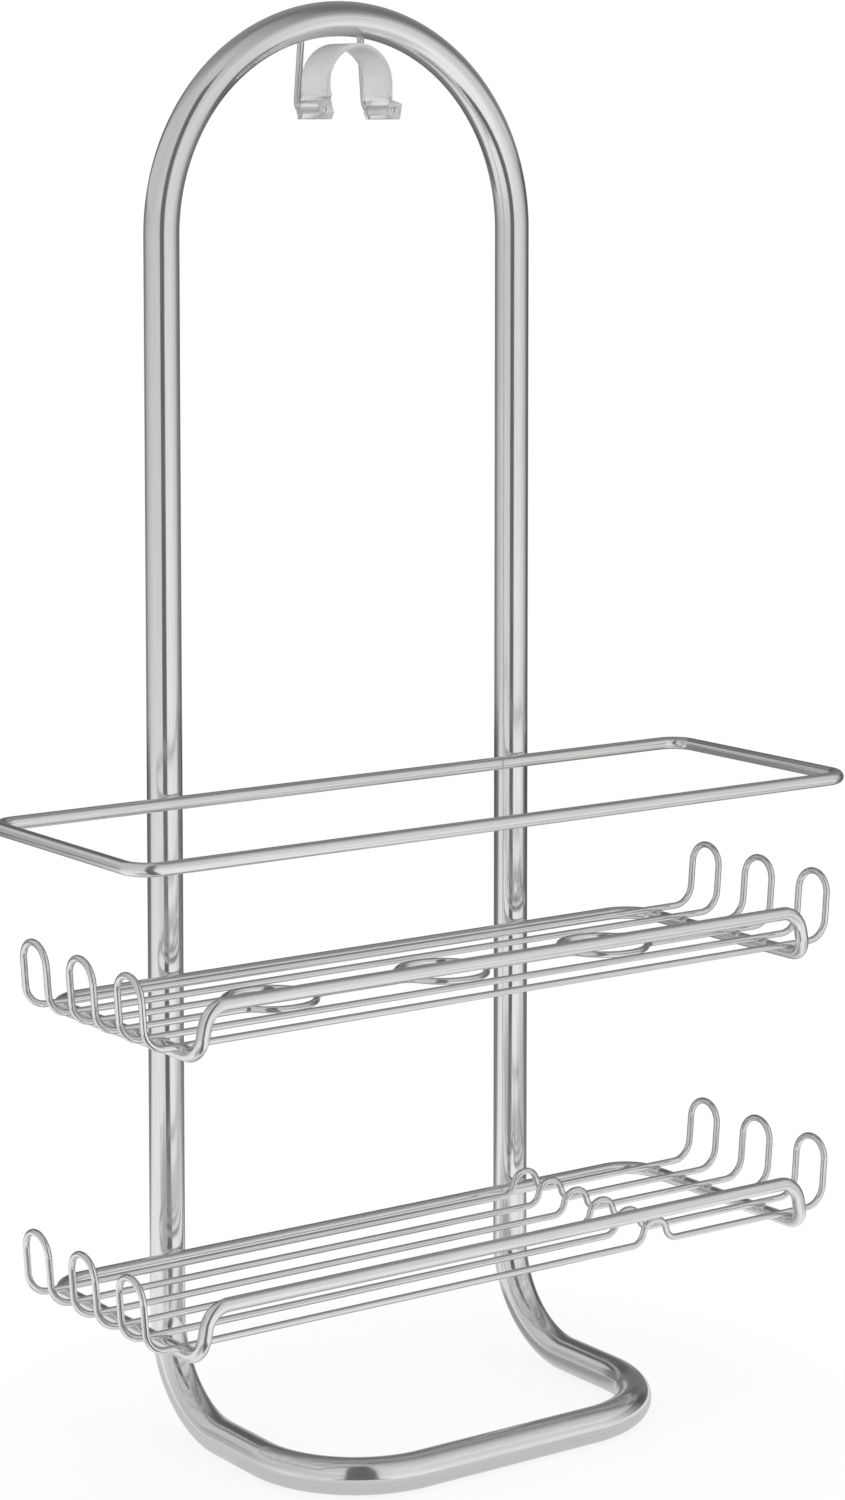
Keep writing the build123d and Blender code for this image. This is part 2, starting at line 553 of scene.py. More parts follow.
@dataclass(frozen=True)
class DrawnSteel:
    """Stainless steel, cold drawn through a die and then polished along its length.

    The polish leaves fine lines along the rod, which fray the edge of each reflection into long
    streaks, and patches a little hazier than the rest. The lines are drawn some ten times as wide
    and deep as a real polish leaves them, because those are too fine to show.

    Attributes:
        name: the finish's name.
        light: colour between the lines.
        dark: colour in the lines.
        sheen: roughness where the polish is best.
        haze: roughness of the hazy patches.
        lines: the polish lines.
        line_depth: how deep they are.
        patches: the hazy patches.
        line_range: heights of the lines' noise that are dark and light.
        patch_range: heights of the patches' noise that are bright and hazy.
    """

    name: str
    light: str
    dark: str
    sheen: float
    haze: float
    lines: Grain
    line_depth: float
    patches: Grain
    line_range: tuple[float, float] = (0.3, 0.6)
    patch_range: tuple[float, float] = (0.35, 0.7)

    def material(self) -> bpy.types.Material:
        """Build the finish: lines give the bump and the tint, patches the roughness.

        Returns:
            The material, whose pattern follows the rod.
        """
        made = bare_material(self.name)
        tree = made.node_tree
        along = add_node(tree, "ShaderNodeAttribute", attribute_name=PATTERN)
        lines, patches = self.lines.noise(tree, along), self.patches.noise(tree, along)
        tint = add_node(
            tree, "ShaderNodeValToRGB", links={"Fac": lines},
            stops=zip(self.line_range, (self.dark, self.light)),
        )
        bright, hazy = self.patch_range
        rough = add_node(
            tree, "ShaderNodeMapRange",
            {"From Min": bright, "From Max": hazy, "To Min": self.sheen, "To Max": self.haze},
            {"Value": patches},
        )
        bumped = add_node(
            tree, "ShaderNodeBump", {"Strength": 1.0, "Distance": self.line_depth * MM}, {"Height": lines},
        )
        end_finish(tree, tint, rough, bumped, {"Metallic": 1.0})
        return made


@dataclass(frozen=True)
class WeldSteel:
    """Steel that has melted in a spot weld and set, then been polished over with the rest.

    It is duller and a little darker than the drawn rod, with a pitted skin. The pits are drawn a few
    times as wide as real ones, which are too fine to show.
    """

    name: str = "spot_welded_steel"
    light: str = "#EBEBEA"
    dark: str = "#B9B8B6"
    pit_size: float = 0.5
    pit_depth: float = 0.06
    pit_detail: float = 3.0
    pit_range: tuple[float, float] = (0.35, 0.65)
    pit_roughness: float = 0.5
    skin_roughness: float = 0.2
    bump_strength: float = 0.7

    def material(self) -> bpy.types.Material:
        """Build the finish: one noise of the pits' size gives tint, roughness and bump.

        Returns:
            The material.
        """
        made = bare_material(self.name)
        tree = made.node_tree
        place = add_node(tree, "ShaderNodeTexCoord")
        noise = add_node(
            tree, "ShaderNodeTexNoise", {"Scale": 1 / (self.pit_size * MM), "Detail": self.pit_detail},
            {"Vector": place.outputs["Object"]},
        )
        pits = noise.outputs["Fac"]
        tint = add_node(
            tree, "ShaderNodeValToRGB", links={"Fac": pits},
            stops=zip(self.pit_range, (self.dark, self.light)),
        )
        rough = add_node(
            tree, "ShaderNodeMapRange", {"To Min": self.pit_roughness, "To Max": self.skin_roughness},
            {"Value": pits},
        )
        bumped = add_node(
            tree, "ShaderNodeBump", {"Strength": self.bump_strength, "Distance": self.pit_depth * MM},
            {"Height": pits},
        )
        end_finish(tree, tint, rough, bumped, {"Metallic": 1.0})
        return made


@dataclass(frozen=True)
class MouldedPolypropylene:
    """Natural polypropylene, injection moulded.

    Uncoloured, it is pale grey and lets light through. The mould is polished round the sleeves, so
    the prongs show in them, and frosted higher up, where the saddle scatters more light than it lets
    through. The gloss is soft and the flow from the gate leaves faint marks. The mould's own grain is
    too fine to show, so the skin is drawn as low swells of a few millimetres.

    Attributes:
        name: the finish's name.
        body: the plastic's colour.
        cloud: its colour in the flow marks.
        roughness: of the polished and of the frosted part.
        transmission: of the polished and of the frosted part.
        frost_start: height where the frosting starts.
        frost_full: height above which all is frosted.
        flow_size: size of the flow marks.
        flow_detail: how many finer marks they hold.
        flow_range: heights of the flow's noise that are cloudy and clear.
        skin_size: size of the skin's swells.
        skin_detail: how many finer swells they hold.
        skin_depth: depth of the swells.
        bump_strength: share of that depth that shows.
        ior: the plastic's index of refraction.
    """

    name: str = "natural_polypropylene_moulded"
    body: str = "#F8F8F8"
    cloud: str = "#F0F0F0"
    roughness: tuple[float, float] = (0.12, 0.34)
    transmission: tuple[float, float] = (0.78, 0.58)
    frost_start: float = -6.4
    frost_full: float = -5.4
    flow_size: float = 5.0
    flow_detail: float = 2.0
    flow_range: tuple[float, float] = (0.35, 0.65)
    skin_size: float = 4.0
    skin_detail: float = 1.0
    skin_depth: float = 0.03
    bump_strength: float = 0.5
    ior: float = 1.49

    def material(self) -> bpy.types.Material:
        """Build the finish: flow marks cloud the body, low swells soften the gloss, height frosts it.

        Returns:
            The material.
        """
        made = bare_material(self.name)
        tree = made.node_tree
        place = add_node(tree, "ShaderNodeTexCoord").outputs["Object"]
        flow, skin = (
            add_node(
                tree, "ShaderNodeTexNoise", {"Scale": 1 / (size * MM), "Detail": detail}, {"Vector": place}
            )
            for size, detail in ((self.flow_size, self.flow_detail), (self.skin_size, self.skin_detail))
        )
        tint = add_node(
            tree, "ShaderNodeValToRGB", links={"Fac": flow.outputs["Fac"]},
            stops=zip(self.flow_range, (self.cloud, self.body)),
        )
        axes = add_node(tree, "ShaderNodeSeparateXYZ", links={"Vector": place})
        frosting = {"From Min": self.frost_start * MM, "From Max": self.frost_full * MM}
        rough, sheer = (
            add_node(
                tree, "ShaderNodeMapRange", {**frosting, "To Min": polished, "To Max": frosted},
                {"Value": axes.outputs["Z"]},
            )
            for polished, frosted in (self.roughness, self.transmission)
        )
        bumped = add_node(
            tree, "ShaderNodeBump", {"Strength": self.bump_strength, "Distance": self.skin_depth * MM},
            {"Height": skin.outputs["Fac"]},
        )
        end_finish(
            tree, tint, rough, bumped, {"IOR": self.ior}, {"Transmission Weight": sheer.outputs["Result"]}
        )
        return made


@dataclass(frozen=True)
class Finishes:
    """The finish of each kind of rod, the welds and the clip, ready to put on a mesh."""

    tube: bpy.types.Material
    rail: bpy.types.Material
    wire: bpy.types.Material
    weld: bpy.types.Material
    clip: bpy.types.Material

    @classmethod
    def made(cls) -> "Finishes":
        """Build every finish once.

        Returns:
            The finishes.
        """
        tube = DrawnSteel(
            "stainless_tube_polished", light="#E9E9E8", dark="#E0E0DF", sheen=0.11, haze=0.17,
            lines=Grain(60.0, 0.6, detail=3.0), line_depth=0.004, patches=Grain(45.0, 5.0, detail=2.0),
        )
        rail = DrawnSteel(
            "stainless_rod_satin", light="#E9E9E8", dark="#DEDEDD", sheen=0.16, haze=0.24,
            lines=Grain(26.0, 0.5, detail=3.0), line_depth=0.003, patches=Grain(20.0, 2.5, detail=2.0),
        )
        wire = DrawnSteel(
            "stainless_wire_satin", light="#E6E6E5", dark="#DADAD9", sheen=0.09, haze=0.14,
            lines=Grain(24.0, 0.4, detail=3.0), line_depth=0.0015, patches=Grain(16.0, 1.5, detail=2.0),
        )
        kinds = (tube, rail, wire, WeldSteel(), MouldedPolypropylene())
        return cls(*(kind.material() for kind in kinds))


@dataclass(frozen=True)
class Hoop:
    """The tube hoop: an arch, two legs and a foot bent forward, closed on itself."""

    foot_bend: float = 46.0
    foot_corner: float = 50.0
    bend_step: float = 2.0
    columns: int = 72

    def route(self) -> tuple[Route, float]:
        """Work out the tube's route from the solid's box.

        The legs stand in the plane y = 0, so the tube reaches back by its own radius. The route starts
        at the foot, on its right, so that the grain's own seam lies low on the side.

        Returns:
            The route and the tube's radius.
        """
        low, high = node_box("frame_tube")
        radius = high[1]
        leg, top, foot, front = high[0] - radius, high[2] - radius, low[2] + radius, low[1] + radius
        left = [(-leg, front, foot), (-leg, 0, foot), (-leg, 0, top)]
        right = [(leg, 0, top), (leg, 0, foot)]
        radii = [self.foot_corner, self.foot_corner, self.foot_bend, leg, leg, self.foot_bend]
        return Route([(leg, front, foot), *left, *right], radii, bend_step=self.bend_step), radius

    def dress(self, finishes: Finishes) -> None:
        """Build the tube and give it its polish."""
        route, radius = self.route()
        place_rod("hoop_tube", route, radius, self.columns, finishes.tube, Slot.TUBE, "frame_tube")


@dataclass(frozen=True)
class Rail:
    """One ring of thick rod: the rim, flat all round, or a shelf's edge, with its front stepped up.

    Attributes:
        node: the solid that the rail stands for.
        name: the piece's name.
        back_corner: bend radius at the back.
        front_corner: bend radius where a side meets the front or the riser's foot.
        riser_head: bend radius at the riser's head.
        riser_lean: how far a riser's head leans in; a flat ring has none.
        diameter: the rod's diameter.
        columns: points round the rod.
    """

    node: str
    name: str
    back_corner: float
    front_corner: float
    riser_head: float = 0.0
    riser_lean: float = 0.0
    diameter: float = 6.0
    columns: int = 40

    @property
    def radius(self) -> float:
        """The rod's radius."""
        return self.diameter / 2

    def middle_lines(self) -> tuple[np.ndarray, np.ndarray]:
        """Lowest and highest corner of the box that the rod's centre line fills."""
        low, high = node_box(self.node)
        return low + self.radius, high - self.radius

    def route(self) -> Route:
        """Work out the rod's route from the solid's box.

        Returns:
            The route.
        """
        low, high = self.middle_lines()
        right = [(high[0], high[1], low[2]), (high[0], low[1], low[2])]
        radii = [self.back_corner, self.front_corner]
        if self.riser_lean:
            right.append((high[0] - self.riser_lean, low[1], high[2]))
            radii.append(self.riser_head)
        return Route([*right, *mirrored(right)], [*radii, *reversed(radii)])

    def dress(self, finishes: Finishes) -> None:
        """Build the rod and give it its satin."""
        place_rod(self.name, self.route(), self.radius, self.columns, finishes.rail, Slot.RAIL, self.node)


@dataclass(frozen=True)
class ShelfFloor:
    """The floor of one shelf: three closed loops of thin wire, each with a hook at both ends.

    Attributes:
        shelf: which shelf it is.
        rail: the shelf's edge, which carries the wires.
        forms: what each loop does between its hooks.
        rows: the loops' names, back to front.
        diameter: the wire's diameter.
        set_in: how deep a wire is pressed into the rail at its weld.
        hook_reach: how far past the rail's centre line a hook turns up.
        hook_height: height of a hook.
        hook_lean: how far a hook leans out, in degrees.
        hook_bend: bend radius where a hook turns up.
        run: shortest straight run between two bends.
        ring_radius: radius of a ring's centre line.
        ring_spacing: distance from ring to ring.
        ring_neck: distance between the two runs where they link the rings.
        ring_foot: bend radius where a run swells into a ring.
        hump_place: the humps' distance from the middle, to the right.
        hump_height: height of a hump.
        hump_top: bend radius at a hump's top.
        hump_foot: bend radius at a hump's foot.
        bend_step: angle between rings of points in a bend, in degrees.
        columns: points round the wire.
    """

    shelf: str
    rail: Rail
    forms: tuple[FloorForm, FloorForm, FloorForm]
    rows: tuple[str, str, str] = ("back", "middle", "front")
    diameter: float = 3.0
    set_in: float = 0.5
    hook_reach: float = 20.0
    hook_height: float = 30.0
    hook_lean: float = 4.4
    hook_bend: float = 10.0
    run: float = 0.5
    ring_radius: float = 20.0
    ring_spacing: float = 91.5
    ring_neck: float = 8.0
    ring_foot: float = 8.0
    hump_place: float = 83.8
    hump_height: float = 10.0
    hump_top: float = 6.5
    hump_foot: float = 6.0
    bend_step: float = 6.0
    columns: int = 24

    @property
    def radius(self) -> float:
        """The wire's radius."""
        return self.diameter / 2

    def node(self, row: str) -> str:
        """Name of the solid that one loop stands for."""
        return f"{self.shelf}_shelf_wire_{row}"

    def middles(self) -> list[float]:
        """The y of each loop's middle line, back to front."""
        return [float(sum(corner[1] for corner in node_box(self.node(row))) / 2) for row in self.rows]

    def half_width(self) -> float:
        """Half the width of a loop: a quarter of the step to the next, as all runs are evenly spaced."""
        middles = self.middles()
        return (middles[0] - middles[-1]) / (len(middles) - 1) / 4

    def level(self) -> float:
        """Height of the wires' centre lines, set a little into the side rails that carry them."""
        return float(self.rail.middle_lines()[0][2]) + self.rail.radius + self.radius - self.set_in

    def between_hooks(self, form: FloorForm) -> list[tuple[float, float, float, float]]:
        """Corners of one run between its hooks, left to right.

        A ring's outer feet lead to the loop's own edge and all others to the narrow neck.

        Args:
            form: what the run does there.

        Returns:
            For each corner its x, its distance from the loop's middle line, its lift and its radius.
        """
        edge = self.half_width()
        if form is FloorForm.PLAIN:
            return []
        if form is FloorForm.HUMPS:
            top, foot = bump(self.hump_height, self.hump_top, self.hump_foot, self.run)
            half = [(top, edge, self.hump_height, self.hump_top), (foot, edge, 0, self.hump_foot)]
            return [(self.hump_place + x, *rest) for x, *rest in mirrored(half) + half]
        corners = []
        for place in (-1, 0, 1):
            for side in (-1, 1):
                foot_out = edge if place * side == 1 else self.ring_neck / 2
                top, foot = bump(self.ring_radius - foot_out, self.ring_radius, self.ring_foot, self.run)
                middle = place * self.ring_spacing
                pair = [
                    (middle + side * top, self.ring_radius, 0, self.ring_radius),
                    (middle + side * foot, foot_out, 0, self.ring_foot),
                ]
                corners += pair if side > 0 else reversed(pair)
        return corners

    def route(self, form: FloorForm, middle: float) -> Route:
        """Work out a loop's route: one run with half of each hook, then its mirror image.

        Args:
            form: what the loop does between its hooks.
            middle: the y of its middle line.

        Returns:
            The route.
        """
        edge = self.half_width()
        hook_x = float(self.rail.middle_lines()[1][0]) + self.hook_reach
        tip_x = hook_x + self.hook_height * math.tan(math.radians(self.hook_lean))
        hook = [(hook_x, edge, 0, self.hook_bend), (tip_x, edge, self.hook_height, edge - self.run / 2)]
        turns = [*mirrored(hook), *self.between_hooks(form), *hook]
        there = [(x, middle + out, self.level() + lift) for x, out, lift, _ in turns]
        back = [(x, middle - out, self.level() + lift) for x, out, lift, _ in reversed(turns)]
        radii = [radius for *_, radius in turns]
        return Route([*there, *back], [*radii, *reversed(radii)], bend_step=self.bend_step)

    def crossings(self) -> list[Place]:
        """Find where the wires lie on the side rails.

        Returns:
            The middle of each weld.
        """
        x, edge = float(self.rail.middle_lines()[1][0]), self.half_width()
        z = self.level() - self.radius + self.set_in / 2
        return [
            (side * x, middle + run * edge, z)
            for middle in self.middles() for side in (-1, 1) for run in (-1, 1)
        ]

    def dress(self, finishes: Finishes) -> None:
        """Build the three loops and give them their satin.

        Args:
            finishes: the finishes.
        """
        for row, form, middle in zip(self.rows, self.forms, self.middles()):
            name, route = f"{self.shelf}_floor_loop_{row}", self.route(form, middle)
            place_rod(name, route, self.radius, self.columns, finishes.wire, Slot.WIRE, self.node(row))


@dataclass(frozen=True)
class Hanger:
    """The staple of wire behind the arch, whose two ends run forward as prongs for the clip."""

    diameter: float = 3.2
    splay: float = 3.0
    bar_bend: float = 5.0
    prong_bend: float = 4.5
    end_round: float = 0.5
    run_step: float = 8.0
    columns: int = 28

    @property
    def radius(self) -> float:
        """The wire's radius."""
        return self.diameter / 2

    def route(self) -> Route:
        """Work out the staple's route from the solid's box, less the rounding of its ends.

        Returns:
            The route.
        """
        low, high = node_box("hanger_wire")
        x, y, bar_z = high - self.radius
        prong_z = low[2] + self.radius
        right = [(x - self.splay, y, bar_z), (x, y, prong_z), (x, low[1] + self.end_round, prong_z)]
        radii = [self.bar_bend, self.prong_bend, 0.0]
        return Route(
            [*mirrored(right), *right], [*reversed(radii), *radii], closed=False, run_step=self.run_step
        )

    def dress(self, finishes: Finishes) -> None:
        """Build the staple and give it the wires' satin."""
        place_rod(
            "hanger_staple", self.route(), self.radius, self.columns, finishes.wire, Slot.WIRE,
            "hanger_wire", self.end_round,
        )


@dataclass(frozen=True)
class ArmClip:
    """The moulded clip: a saddle that grips the shower arm, with a sleeve for a prong at each end.

    Attributes:
        seat_radius: radius of the gripped arm.
        wall: the saddle's thickness.
        pinch_drop: how far below the arm's axis the legs pinch it.
        pinch_round: how softly the pinch is rounded.
        leg_drop: how far below the arm's axis the legs end.
        leg_overlap: how far the legs go on into the sleeves.
        saddle_front: the saddle's front edge, forward of the arm's axis.
        sleeve_back: y of the sleeves' back faces.
        prong_radius: radius of the prongs.
        prong_x: the prongs' distance from the middle.
        prong_z: height of the prongs.
        bore_clearance: gap between a prong and its bore.
        sleeve_wall: thickness of a sleeve round its prong.
        shoulder: height of a sleeve's outer corner above its prong.
        chin: depth of a sleeve's inner corner below its prong.
        inset: how far a sleeve's bottom is drawn in at each side.
        edge_round: rounding of all edges.
        corner_sharpness: power of the mean that rounds a sleeve's corners.
        leg_rings: rings of points up a leg, with the one where the arch starts.
        arch_rings: rings of points over the top.
        corner_points: points in each rounded corner of the saddle's section.
        sleeve_points: points round a sleeve.
        rim_points: points over each rounded end of a sleeve.
    """

    seat_radius: float = 16.0
    wall: float = 2.0
    pinch_drop: float = 5.5
    pinch_round: float = 0.3
    leg_drop: float = 7.5
    leg_overlap: float = 0.5
    saddle_front: float = 14.5
    sleeve_back: float = 4.1
    prong_radius: float = 1.6
    prong_x: float = 18.75
    prong_z: float = -12.0
    bore_clearance: float = 0.06
    sleeve_wall: float = 2.7
    shoulder: float = 2.8
    chin: float = 1.2
    inset: float = 1.2
    edge_round: float = 0.55
    corner_sharpness: float = 26.0
    leg_rings: int = 34
    arch_rings: int = 81
    corner_points: int = 7
    sleeve_points: int = 120
    rim_points: int = 6

    def saddle(self) -> Surface:
        """Carry a rounded rectangle along the saddle's U.

        Up each leg the outer face stays at the outer radius. The inner face is the smooth larger of
        the arm's own circle and a slope that leads the arm in, and they meet at the pinch. Over the
        top both faces are circles about the arm. The section lies between the two faces, as wide as
        the clip, with its corners rounded.

        Returns:
            The saddle, closed at both ends.
        """
        outer_radius = self.seat_radius + self.wall
        rise = np.linspace(-self.leg_drop - self.leg_overlap, 0, self.leg_rings)[:-1]
        circle = np.sqrt(self.seat_radius**2 - rise**2)
        pinch_x = math.sqrt(self.seat_radius**2 - self.pinch_drop**2)
        lead_in = (self.seat_radius - pinch_x) / (self.leg_drop - self.pinch_drop)
        slope = np.minimum(pinch_x - (rise + self.pinch_drop) * lead_in, self.seat_radius)
        inner_x = (circle + slope + np.hypot(circle - slope, self.pinch_round)) / 2
        arch = on_circle(np.linspace(0, math.pi, self.arch_rings))
        outer_leg = np.stack([np.full_like(rise, outer_radius), rise], axis=-1)
        inner_leg = np.stack([np.minimum(inner_x, self.seat_radius), rise], axis=-1)
        flip = np.array([-1, 1])
        outer = np.concatenate([outer_leg, arch * outer_radius, outer_leg[::-1] * flip])
        inner = np.concatenate([inner_leg, arch * self.seat_radius, inner_leg[::-1] * flip])

        back = float(node_box("pipe_clip")[1][1])
        middle_y, half_width = (back - self.saddle_front) / 2, (back + self.saddle_front) / 2
        middle, reach = (outer + inner) / 2, (outer - inner) / 2
        half_wall = np.linalg.norm(reach, axis=1, keepdims=True)
        corner = np.repeat([(1, 1), (-1, 1), (-1, -1), (1, -1)], self.corner_points, axis=0)
        quarter = np.linspace(0, QUARTER_TURN, self.corner_points)
        turn = (quarter + np.arange(4)[:, None] * QUARTER_TURN).ravel()
        across = corner[:, 0] * (half_wall - self.edge_round) + self.edge_round * np.cos(turn)
        along = middle_y + corner[:, 1] * (half_width - self.edge_round) + self.edge_round * np.sin(turn)
        face = middle[:, None] + across[..., None] * (reach / half_wall)[:, None]
        depth = np.broadcast_to(along, face.shape[:2])
        points = np.stack([face[..., 0], depth, face[..., 1]], axis=-1)
        return lattice(points, False, points[[0, -1]].mean(axis=1)).outward()

    def sleeve(self, side: int) -> Surface:
        """Turn a rounded section about a prong's bore.

        At angle f about the bore the sleeve reaches out to 1 / R(f), where R is the sharp power mean
        over the outline's edges of cos(f - edge's angle) / edge's distance: straight edges with
        softly rounded corners between them.

        Args:
            side: 1 for the right sleeve, -1 for the left one.

        Returns:
            The sleeve, with its bore right through.
        """
        half = self.prong_radius + self.sleeve_wall
        top = -self.leg_drop - self.prong_z
        outline = np.array([
            (self.seat_radius + self.wall - self.prong_x, top),
            (half, self.shoulder),
            (half - self.inset, -half),
            (self.inset - half, -half),
            (-half, -self.chin),
            (self.seat_radius - self.prong_x, top),
        ])
        edge = np.roll(outline, -1, axis=0) - outline
        normal = np.stack([-edge[:, 1], edge[:, 0]], axis=-1) / np.linalg.norm(edge, axis=1, keepdims=True)
        distance = np.sum(normal * outline, axis=1)
        normal, distance = normal * np.sign(distance)[:, None], np.abs(distance)
        ray = on_circle(circle_angles(self.sleeve_points))
        facing = np.maximum(ray @ normal.T, 0) / distance
        reach = np.sum(facing**self.corner_sharpness, axis=1) ** (-1 / self.corner_sharpness)

        front = float(node_box("pipe_clip")[0][1])
        bore = self.prong_radius + self.bore_clearance
        quarter = np.linspace(0, QUARTER_TURN, self.rim_points)
        back_lead, front_lead = (self.edge_round * (1 - lead) for lead in (np.cos(quarter), np.sin(quarter)))
        narrowed = self.edge_round * (1 - np.concatenate([np.sin(quarter), np.cos(quarter)]))
        across = np.concatenate([reach[:, None] - narrowed, np.full((len(ray), 2), bore)], axis=1)
        deep = np.concatenate([self.sleeve_back - back_lead, front + front_lead, [front, self.sleeve_back]])
        depth = np.broadcast_to(deep, across.shape)
        x = side * (self.prong_x + across * ray[:, :1])
        z = self.prong_z + across * ray[:, 1:]
        return lattice(np.stack([x, depth, z], axis=-1), True).outward()

    def dress(self, finishes: Finishes) -> None:
        """Join the saddle and its sleeves into one moulding and dress it.

        Args:
            finishes: the finishes.
        """
        solids = [self.saddle(), self.sleeve(1), self.sleeve(-1)]
        blanks = [
            bpy.data.objects.new(f"clip_blank_{number}", solid.mesh(f"clip_blank_{number}"))
            for number, solid in enumerate(solids)
        ]
        for blank in blanks:
            bpy.context.scene.collection.objects.link(blank)
        saddle, *sleeves = blanks
        for sleeve in sleeves:
            joint = saddle.modifiers.new("moulded_as_one", "BOOLEAN")
            joint.operation, joint.solver, joint.object = "UNION", "EXACT", sleeve
        whole = saddle.evaluated_get(bpy.context.evaluated_depsgraph_get())
        mesh = bpy.data.meshes.new_from_object(whole)
        mesh.name = "arm_clip"
        for blank in blanks:
            bpy.data.meshes.remove(blank.data)
        mesh.shade_smooth()
        mesh.set_sharp_from_angle(angle=SHARP_EDGE)
        place_piece("arm_clip", mesh, finishes.clip, Body.CLIP, Slot.CLIP, "pipe_clip")


@dataclass(frozen=True)
class Welds:
    """What the welder leaves: squeezed-out steel at each crossing and a bead round each ring's joint.

    Attributes:
        floor_reach: how far a floor wire's weld goes along x, y and z.
        leg_reach: the same of a rail's weld to a leg.
        hanger_reach: the same of the hanger's weld to the arch.
        hanger_place: the hanger welds' distance from the middle.
        lump: how unevenly a weld swells, as a share of its size.
        waves: swellings round a weld.
        weld_columns: points round a weld.
        weld_rows: points from pole to pole, with both.
        seam_x: where a rail's ends are joined, along its back.
        seam_half_width: half the width of that joint's bead.
        seam_height: how far the bead stands proud.
        seam_columns: points round the bead.
        seam_rows: points across it.
    """

    floor_reach: Place = (1.6, 2.6, 0.95)
    leg_reach: Place = (4.6, 1.0, 3.6)
    hanger_reach: Place = (4.0, 0.9, 1.9)
    hanger_place: float = 8.5
    lump: float = 0.14
    waves: int = 3
    weld_columns: int = 20
    weld_rows: int = 11
    seam_x: float = 82.0
    seam_half_width: float = 0.5
    seam_height: float = 0.12
    seam_columns: int = 48
    seam_rows: int = 7

    def nugget(self, middle: Place, reach: Place) -> Surface:
        """Squash a sphere to its three reaches and ripple it round its middle.

        With f round it and g from pole to pole, a point lies at the middle + (reach_x cos g cos f,
        reach_y cos g sin f, reach_z sin g), swollen by a few waves whose phase follows the place.

        Args:
            middle: the weld's middle.
            reach: how far it goes along x, y and z.

        Returns:
            The closed nugget.
        """
        rows = np.linspace(-QUARTER_TURN, QUARTER_TURN, self.weld_rows)[1:-1]
        across, climb = np.meshgrid(circle_angles(self.weld_columns), rows)
        swell = 1 + self.lump * np.sin(self.waves * across + sum(middle)) * np.cos(climb) ** 2
        level = np.cos(climb)[..., None] * on_circle(across)
        ball = np.concatenate([level, np.sin(climb)[..., None]], axis=-1)
        points = np.array(middle) + ball * swell[..., None] * np.array(reach)
        pole = np.array([0, 0, reach[2]])
        return lattice(points, False, np.array([middle - pole, middle + pole])).outward()

    def seam(self, middle: Place, radius: float) -> Surface:
        """Turn a low bead about a rail that runs along x.

        Across the bead, u from -1 to 1, its height above the rod is seam_height (1 - u^2), and its
        underside lies as deep inside the rod.

        Args:
            middle: where the joint is on the rail's centre line.
            radius: the rail's radius.

        Returns:
            The closed bead.
        """
        share = np.linspace(-1, 1, self.seam_rows)
        hump = self.seam_height * (1 - share**2)
        reach = radius + np.concatenate([hump, np.full_like(share, -self.seam_height)])
        x = middle[0] + self.seam_half_width * np.concatenate([share, share[::-1]])
        turn = circle_angles(self.seam_columns)[:, None]
        places = x, middle[1] + reach * np.cos(turn), middle[2] + reach * np.sin(turn)
        return lattice(np.stack(np.broadcast_arrays(*places), axis=-1), True).outward()

    def dress(self, finishes: Finishes, hoop: Hoop, rails: list[Rail], floors: list[ShelfFloor]) -> None:
        """Build the welds of each sub-assembly.

        Args:
            finishes: the finishes.
            hoop: the tube that carries the rails.
            rails: the rim and the two shelf rails.
            floors: the two shelves' floors.
        """
        pieces = []
        for floor in floors:
            nuggets = [self.nugget(place, self.floor_reach) for place in floor.crossings()]
            pieces.append((f"{floor.shelf}_floor_welds", nuggets, Slot.RAIL))

        route, tube = hoop.route()
        leg, top = max(x for x, _, _ in route.corners), max(z for _, _, z in route.corners)
        beads, seams = [], []
        for rail in rails:
            low, high = rail.middle_lines()
            beads += [self.nugget((side * leg, -tube, low[2]), self.leg_reach) for side in (-1, 1)]
            seams.append(self.seam((self.seam_x, high[1], low[2]), rail.radius))
        held = [self.nugget((side * self.hanger_place, tube, top), self.hanger_reach) for side in (-1, 1)]
        pieces += [
            ("leg_welds", beads, Slot.RAIL),
            ("rail_seams", seams, Slot.RAIL),
            ("hanger_welds", held, Slot.WIRE),
        ]
        for name, surfaces, slot in pieces:
            place_piece(name, merged(surfaces).mesh(name), finishes.weld, Body.FRAME, slot)


def add_stage(name: str, mesh: bpy.types.Mesh, material: bpy.types.Material) -> bpy.types.Object:
    """Add an object that isn't part of the caddy.

    Args:
        name: its name.
        mesh: its mesh.
        material: its finish.

    Returns:
        The new object.
    """
    mesh.materials.append(material)
    made = bpy.data.objects.new(name, mesh)
    bpy.context.scene.collection.objects.link(made)
    return made


@dataclass(frozen=True)
class PhotoCamera:
    """The camera, where the photograph was taken from.

    Attributes:
        place: where it stands.
        yaw: how far it looks to the right of +Y, in degrees.
        pitch: how far it looks down, in degrees.
        focal_pixels: its focal length in pixels of the photograph.
        image_height: the photograph's height in pixels.
        shift: how far the picture is shifted down, as a share of its height.
        sensor: height of the sensor.
    """

    place: Place = (-953.9, -1395.9, -22.6)
    yaw: float = 35.585
    pitch: float = 4.89
    focal_pixels: float = 3701.3
    image_height: float = 1500.0
    shift: float = -0.2
    sensor: float = 36.0

    def build(self) -> None:
        """Set the camera up."""
        data = bpy.data.cameras.new("camera")
        data.sensor_width = self.sensor
        data.lens = self.focal_pixels / self.image_height * self.sensor
        data.shift_y = self.shift
        camera = bpy.data.objects.new("camera", data)
        bpy.context.scene.collection.objects.link(camera)
        camera.location = in_metres(self.place)
        camera.rotation_euler = (math.radians(90 - self.pitch), 0, -math.radians(self.yaw))
        bpy.context.scene.camera = camera

    def outwards(self, angle: np.ndarray) -> np.ndarray:
        """Level unit vectors at these angles from the camera's side, in radians."""
        turned = math.radians(self.yaw) - angle
        return np.stack([-np.sin(turned), -np.cos(turned)], axis=-1)


